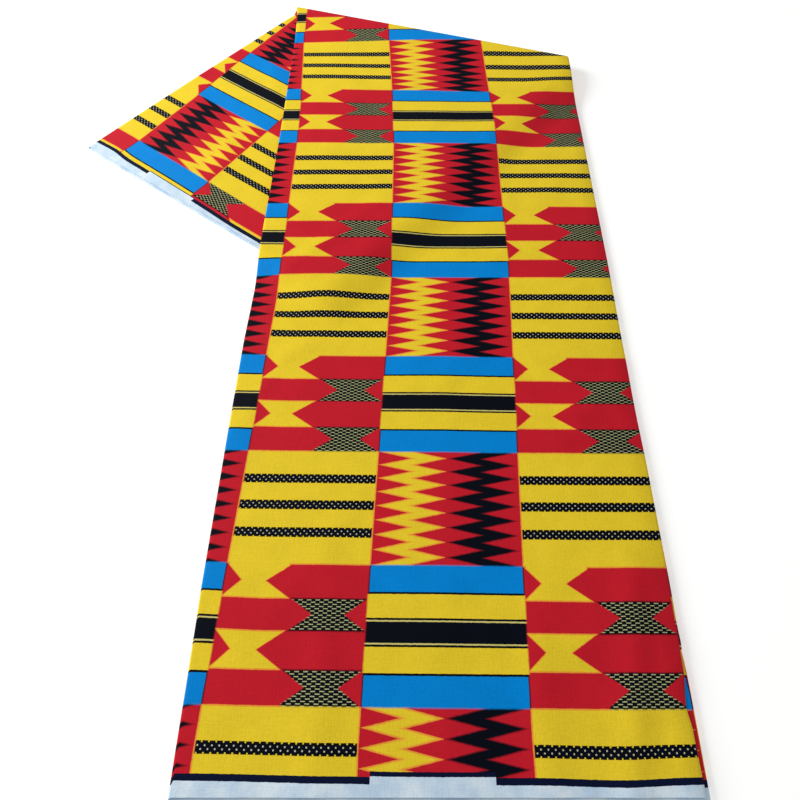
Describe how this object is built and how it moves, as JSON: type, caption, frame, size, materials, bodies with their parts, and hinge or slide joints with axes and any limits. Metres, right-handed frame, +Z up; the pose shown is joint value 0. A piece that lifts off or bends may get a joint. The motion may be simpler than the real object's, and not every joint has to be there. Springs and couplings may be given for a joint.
{
  "type": "folded wax print fabric",
  "caption": "Length of block-patterned printed cotton, folded back and forth into a long flat strip whose far end is turned under on a slant and shows as a flap.",
  "frame": {"origin": "middle of the box, on the surface the cloth lies on", "axes": "+Z up, +Y along the folded strip from its near selvage to the ridge, +X to the right of the strip, the flap lies at -X"},
  "size_m": [0.5306, 0.8486, 0.0172],
  "materials": {
    "cloth": "printed cotton with a soft sheen"
  },
  "bodies": {
    "root": {"cloth": "cloth"}
  },
  "joints": []
}
